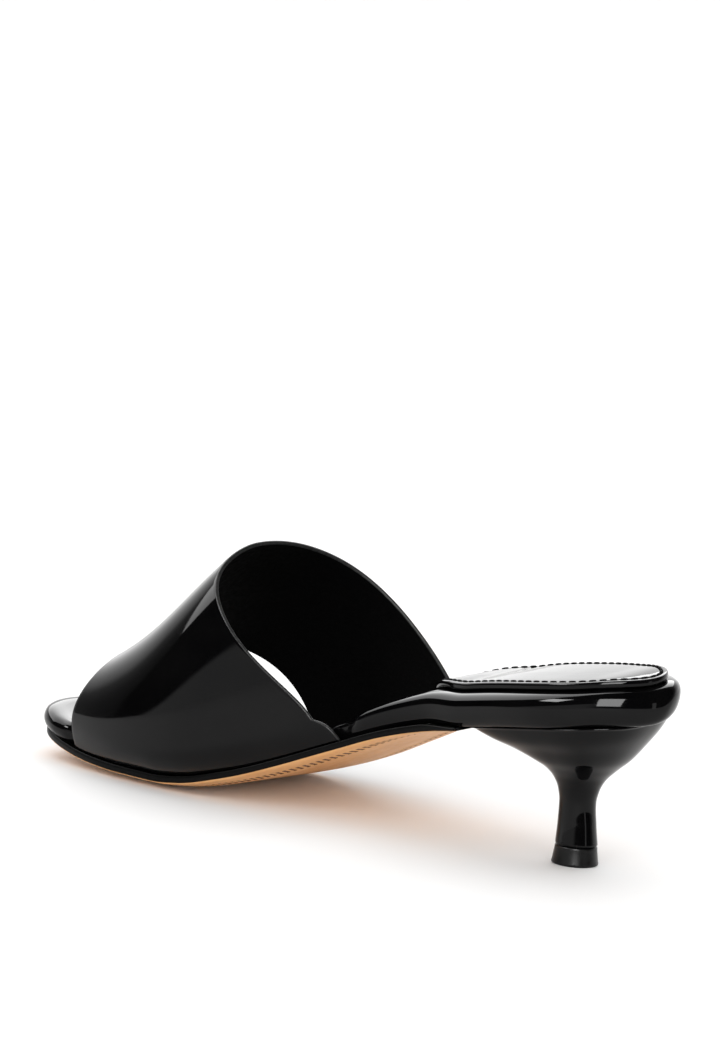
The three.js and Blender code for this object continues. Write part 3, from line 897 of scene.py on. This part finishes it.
# The top piece: its rounded foot and neck as distances from the foot's and the neck's edge, and its flare
TIP_FOOT = ((1.1, 0), (0.4, 0.05), (0.1, 0.25))
TIP_NECK = ((0.08, 0.12), (0.3, 0))
TIP_FLARE_FROM = 0.5
TIP_FLARE_TO = 0.35
TIP_FLARE_POWER = 1.3
TIP_FLARE_ROWS = 14
TIP_SIDES = 96
TIP_CENTRE = 0.01


def make_tip():
    joint = STEM_RADIUS * HEEL["side"][0]
    flare = TIP_RADIUS - joint
    profile = [(TIP_CENTRE, 0)]
    profile += [(TIP_RADIUS - inset, height) for inset, height in TIP_FOOT]
    for share in np.linspace(0, 1, TIP_FLARE_ROWS):
        radius = joint + flare * (1 - share) ** TIP_FLARE_POWER
        profile.append((radius, mix(TIP_FLARE_FROM, TIP_HEIGHT - TIP_FLARE_TO, share)))
    profile += [(joint - inset, TIP_HEIGHT - drop) for inset, drop in TIP_NECK]
    profile.append((TIP_CENTRE, TIP_HEIGHT))
    angle = 2 * np.pi * np.arange(TIP_SIDES) / TIP_SIDES
    loops = [place(r * np.cos(angle), HEEL_AXIS + r * np.sin(angle), z) for r, z in profile]
    shape = Shape()
    shape.add(np.stack(loops), wrap=True)
    wear(shape.build("top_piece", [RUBBER]), "tip_rubber", "heel_tip")


make_outsole()
make_footbed()
make_pad()
make_stitches()
make_upper()
make_heel()
make_tip()

# Camera: place, direction towards it as angles, roll, and focal length over a 36 mm frame's tall side
CAMERA_AT = (1.24639, 1.01117, 0.31077)
CAMERA_TURN = math.radians(39.3211)
CAMERA_RISE = math.radians(7.8617)
CAMERA_ROLL = math.radians(4.7034)
CAMERA_LENS = 185.175


def add_camera():
    data = bpy.data.cameras.new("camera")
    data.lens = CAMERA_LENS
    data.sensor_width = 36
    data.clip_start = 0.1
    data.clip_end = 50
    camera = bpy.data.objects.new("camera", data)
    bpy.context.collection.objects.link(camera)
    back = Vector((
        math.cos(CAMERA_RISE) * math.cos(CAMERA_TURN),
        math.cos(CAMERA_RISE) * math.sin(CAMERA_TURN),
        math.sin(CAMERA_RISE),
    ))
    level = Vector((0, 0, 1)).cross(back).normalized()
    above = back.cross(level)
    right = level * math.cos(CAMERA_ROLL) + above * math.sin(CAMERA_ROLL)
    up = above * math.cos(CAMERA_ROLL) - level * math.sin(CAMERA_ROLL)
    turn = Matrix((right, up, back)).transposed().to_4x4()
    camera.matrix_world = Matrix.Translation(CAMERA_AT) @ turn
    bpy.context.scene.camera = camera


add_camera()


# Floor and light
FLOOR_HALF = 12


def add_floor():
    mesh = bpy.data.meshes.new("floor")
    corner_signs = ((-1, -1), (1, -1), (1, 1), (-1, 1))
    mesh.from_pydata([(x * FLOOR_HALF, y * FLOOR_HALF, 0) for x, y in corner_signs], [], [(0, 1, 2, 3)])
    material, tree, shader = nodes_of("floor_paper", (0.88, 0.87, 0.86), 0.9)
    two_tone(tree, shader, noise(tree, 3, 2.0), (0.86, 0.855, 0.85), (0.9, 0.895, 0.89))
    mesh.materials.append(material)
    floor = bpy.data.objects.new("floor", mesh)
    bpy.context.collection.objects.link(floor)


add_floor()


def bright_side(tree, at, towards, soft):
    """1 on the side that a direction points to, falling to 0 over a soft edge."""
    dot = tree.nodes.new("ShaderNodeVectorMath")
    dot.operation = "DOT_PRODUCT"
    dot.inputs[1].default_value = towards
    fade = tree.nodes.new("ShaderNodeMapRange")
    fade.interpolation_type = "SMOOTHSTEP"
    fade.inputs["From Min"].default_value = -soft
    fade.inputs["From Max"].default_value = soft
    tree.links.new(at, dot.inputs[0])
    tree.links.new(dot.outputs["Value"], fade.inputs["Value"])
    return fade.outputs["Result"]


def times(tree, a, b):
    """Product of a value and another, or of a value and a number."""
    product = tree.nodes.new("ShaderNodeMath")
    product.operation = "MULTIPLY"
    tree.links.new(a, product.inputs[0])
    if isinstance(b, float):
        product.inputs[1].default_value = b
    else:
        tree.links.new(b, product.inputs[1])
    return product.outputs["Value"]


def level_direction(turn):
    """Level direction, in degrees from straight behind the shoe, positive to the picture's right."""
    turn = math.radians(turn)
    behind = Vector((-math.cos(CAMERA_TURN), -math.sin(CAMERA_TURN), 0))
    right = Vector((-math.sin(CAMERA_TURN), math.cos(CAMERA_TURN), 0))
    return behind * math.cos(turn) + right * math.sin(turn)


def direction(turn, height):
    """Direction at an angle in degrees round the shoe, as above, and a height in degrees."""
    height = math.radians(height)
    return level_direction(turn) * math.cos(height) + Vector((0, 0, math.sin(height)))


def ramp(tree, value, stops):
    """Brightness by position along a value."""
    node = tree.nodes.new("ShaderNodeValToRGB")
    marks = node.color_ramp.elements
    while len(marks) < len(stops):
        marks.new(0.5)
    for mark, (position, bright) in zip(marks, stops):
        mark.position = position
        mark.color = (bright, bright, bright, 1)
    tree.links.new(value, node.inputs["Fac"])
    return node.outputs["Color"]


# Middle of the white backdrop behind the shoe, and of the low bright side to the left of the camera
BACKDROP = direction(10, -25)
BACKDROP_SOFTNESS = 0.95
WALL_FOOT = direction(-182.6, -69)
WALL_FOOT_SOFTNESS = 0.02
WALL_SIDE = level_direction(-75)
WALL_SIDE_SOFTNESS = 0.2
WALL_BRIGHTNESS = 0.95
STUDIO = 3.0
# The backdrop's brightness, as a share of the studio's, from its rim to its middle
BACKDROP_FADE = (
    (0.49, 0.001), (0.505, 0.03), (0.6, 0.06), (0.69, 0.12), (0.76, 0.32), (0.9, 0.48), (0.96, 0.56),
)


def add_world():
    """A dark studio with a white backdrop that fades upwards and a low bright side."""
    world = bpy.data.worlds.new("studio")
    bpy.context.scene.world = world
    world.use_nodes = True
    tree = world.node_tree
    at = tree.nodes.new("ShaderNodeTexCoord").outputs["Generated"]
    backdrop = ramp(tree, bright_side(tree, at, BACKDROP, BACKDROP_SOFTNESS), BACKDROP_FADE)
    low_half = bright_side(tree, at, WALL_FOOT, WALL_FOOT_SOFTNESS)
    left_half = bright_side(tree, at, WALL_SIDE, WALL_SIDE_SOFTNESS)
    wall = times(tree, times(tree, low_half, left_half), WALL_BRIGHTNESS / STUDIO)
    light = tree.nodes.new("ShaderNodeMath")
    light.operation = "MAXIMUM"
    tree.links.new(backdrop, light.inputs[0])
    tree.links.new(wall, light.inputs[1])
    background = tree.nodes["Background"]
    tree.links.new(light.outputs["Value"], background.inputs["Color"])
    background.inputs["Strength"].default_value = STUDIO


add_world()


# Point of the shoe that the soft boxes stand round
SHOE_MIDDLE = Vector((0, 0.03, 0.04))


def aimed(name, data, towards_light):
    """A lamp that shines from a direction."""
    lamp = bpy.data.objects.new(name, data)
    lamp.rotation_mode = "QUATERNION"
    lamp.rotation_quaternion = Vector(towards_light).to_track_quat("Z", "Y")
    bpy.context.collection.objects.link(lamp)
    return lamp


def add_sun(name, towards_light, spread_angle, strength):
    """Broad even light that the gloss doesn't mirror."""
    data = bpy.data.lights.new(name, "SUN")
    data.angle = math.radians(spread_angle)
    data.energy = strength
    aimed(name, data, towards_light).visible_glossy = False


def add_soft_box(name, turn, height, distance, width, depth, radiance):
    """A soft box for the gloss alone, seen from the shoe at an angle round it and a height in degrees."""
    data = bpy.data.lights.new(name, "AREA")
    data.shape = "RECTANGLE"
    data.size = width
    data.size_y = depth
    data.energy = radiance * math.pi * width * depth
    towards = direction(turn, height)
    lamp = aimed(name, data, towards)
    lamp.location = SHOE_MIDDLE + towards * distance
    lamp.visible_diffuse = False


add_sun("key", (-0.27, -0.065, 1), 70, 1.15)
add_sun("dome", (0, 0, 1), 170, 1.25)
add_sun("fill", -direction(0, -22), 80, 2.2)
add_soft_box("box_far", -31, 45, 1.6, 2.8, 1.36, 4.6)
add_soft_box("box_left", -112, 42, 1.5, 0.5, 0.5, 22)
add_soft_box("box_right", -179, 30, 1.5, 0.6, 1.2, 16)
add_soft_box("slit", 129, 8, 1.6, 0.2, 0.5, 1.6)

bpy.context.scene.view_settings.view_transform = "Standard"
